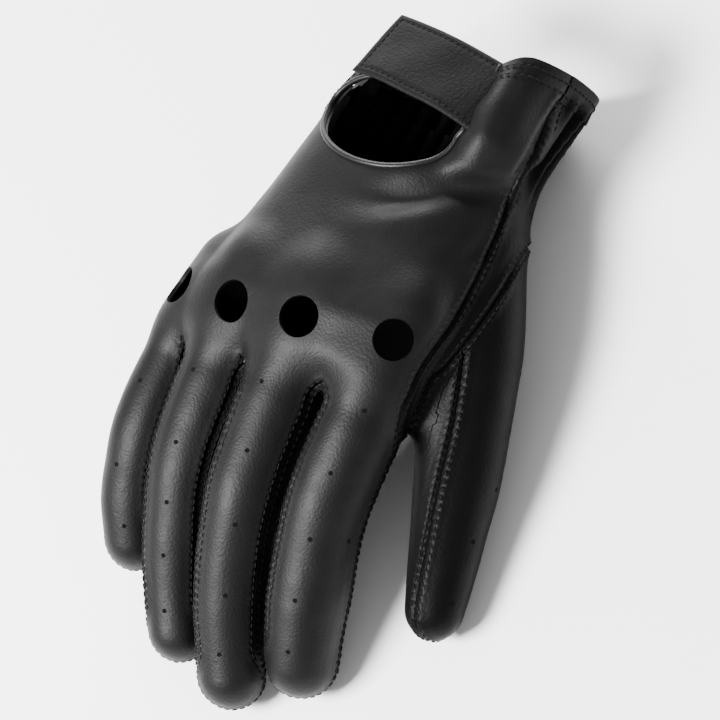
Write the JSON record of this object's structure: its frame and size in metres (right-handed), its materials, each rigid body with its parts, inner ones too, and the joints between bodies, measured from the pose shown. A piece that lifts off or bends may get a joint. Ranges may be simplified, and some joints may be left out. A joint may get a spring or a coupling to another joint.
{
  "type": "leather driving glove",
  "caption": "Right-hand black leather driving glove with knuckle holes, a keyhole opening at the wrist and a closing strap.",
  "frame": {"origin": "middle of the footprint, on the table the palm rests on", "axes": "+Z out of the back of the hand, +Y towards the open cuff, +X towards the thumb"},
  "size_m": [0.1112, 0.1906, 0.0535],
  "materials": {
    "back_leather": "satin",
    "palm_leather": "satin",
    "side_leather": "satin",
    "strap_leather": "matte",
    "binding_leather": "satin",
    "lining_fabric": "matte",
    "hook_and_loop": "matte",
    "elastic": "matte"
  },
  "bodies": {
    "hand": {"back_panel": "back_leather", "palm_panel": "palm_leather", "web_index_middle": "side_leather", "web_middle_ring": "side_leather", "web_ring_little": "side_leather", "thumb_root": "back_leather", "keyhole_binding": "binding_leather", "cuff_hem": "binding_leather", "elastic_band": "elastic", "loop_pad": "hook_and_loop"},
    "index_base": {"index_base_back": "back_leather", "index_base_palm": "palm_leather", "index_base_fourchette_ulnar": "side_leather"},
    "index_tip": {"index_tip_back": "back_leather", "index_tip_palm": "palm_leather", "index_tip_fourchette_ulnar": "side_leather"},
    "middle_base": {"middle_base_back": "back_leather", "middle_base_palm": "palm_leather", "middle_base_fourchette_ulnar": "side_leather", "middle_base_fourchette_radial": "side_leather"},
    "middle_tip": {"middle_tip_back": "back_leather", "middle_tip_palm": "palm_leather", "middle_tip_fourchette_ulnar": "side_leather", "middle_tip_fourchette_radial": "side_leather"},
    "ring_base": {"ring_base_back": "back_leather", "ring_base_palm": "palm_leather", "ring_base_fourchette_ulnar": "side_leather", "ring_base_fourchette_radial": "side_leather"},
    "ring_tip": {"ring_tip_back": "back_leather", "ring_tip_palm": "palm_leather", "ring_tip_fourchette_ulnar": "side_leather", "ring_tip_fourchette_radial": "side_leather"},
    "little_base": {"little_base_back": "back_leather", "little_base_palm": "palm_leather", "little_base_fourchette_radial": "side_leather"},
    "little_tip": {"little_tip_back": "back_leather", "little_tip_palm": "palm_leather", "little_tip_fourchette_radial": "side_leather"},
    "thumb_base": {"thumb_base_back": "back_leather", "thumb_base_palm": "palm_leather"},
    "thumb_tip": {"thumb_tip_back": "back_leather", "thumb_tip_palm": "palm_leather"},
    "strap": {"strap_outer": "strap_leather", "strap_lining": "lining_fabric", "hook_pad": "hook_and_loop"}
  },
  "joints": [
    {"name": "index_root_bend", "type": "hinge", "parent": "hand", "child": "index_base", "pos_m": [0.01996, -0.01731, 0.0338], "axis": [1, 0, 0], "range_deg": [-15, 50]},
    {"name": "index_middle_bend", "type": "hinge", "parent": "index_base", "child": "index_tip", "pos_m": [0.01826, -0.03491, 0.0298], "axis": [1, 0, 0], "range_deg": [-15, 60]},
    {"name": "middle_root_bend", "type": "hinge", "parent": "hand", "child": "middle_base", "pos_m": [-0.00424, -0.01731, 0.0362], "axis": [1, 0, 0], "range_deg": [-15, 50]},
    {"name": "middle_middle_bend", "type": "hinge", "parent": "middle_base", "child": "middle_tip", "pos_m": [-0.00524, -0.04231, 0.031], "axis": [1, 0, 0], "range_deg": [-15, 60]},
    {"name": "ring_root_bend", "type": "hinge", "parent": "hand", "child": "ring_base", "pos_m": [-0.02744, -0.01731, 0.0315], "axis": [1, 0, 0], "range_deg": [-15, 50]},
    {"name": "ring_middle_bend", "type": "hinge", "parent": "ring_base", "child": "ring_tip", "pos_m": [-0.02784, -0.03981, 0.027], "axis": [1, 0, 0], "range_deg": [-15, 60]},
    {"name": "little_root_bend", "type": "hinge", "parent": "hand", "child": "little_base", "pos_m": [-0.04624, -0.01731, 0.0254], "axis": [1, 0, 0], "range_deg": [-15, 50]},
    {"name": "little_middle_bend", "type": "hinge", "parent": "little_base", "child": "little_tip", "pos_m": [-0.04724, -0.03641, 0.022], "axis": [1, 0, 0], "range_deg": [-15, 60]},
    {"name": "thumb_root_bend", "type": "hinge", "parent": "hand", "child": "thumb_base", "pos_m": [0.03936, -0.00281, 0.0176], "axis": [0.8108, 0.2362, -0.5355], "range_deg": [-15, 15]},
    {"name": "thumb_middle_bend", "type": "hinge", "parent": "thumb_base", "child": "thumb_tip", "pos_m": [0.04316, -0.02111, 0.0136], "axis": [0.0738, 0.1793, -0.981], "range_deg": [-15, 25]},
    {"name": "strap_open", "type": "hinge", "parent": "hand", "child": "strap", "pos_m": [0.01876, 0.07759, 0.0438], "axis": [0.1349, 0.9359, -0.3256], "range_deg": [0, 110]}
  ]
}
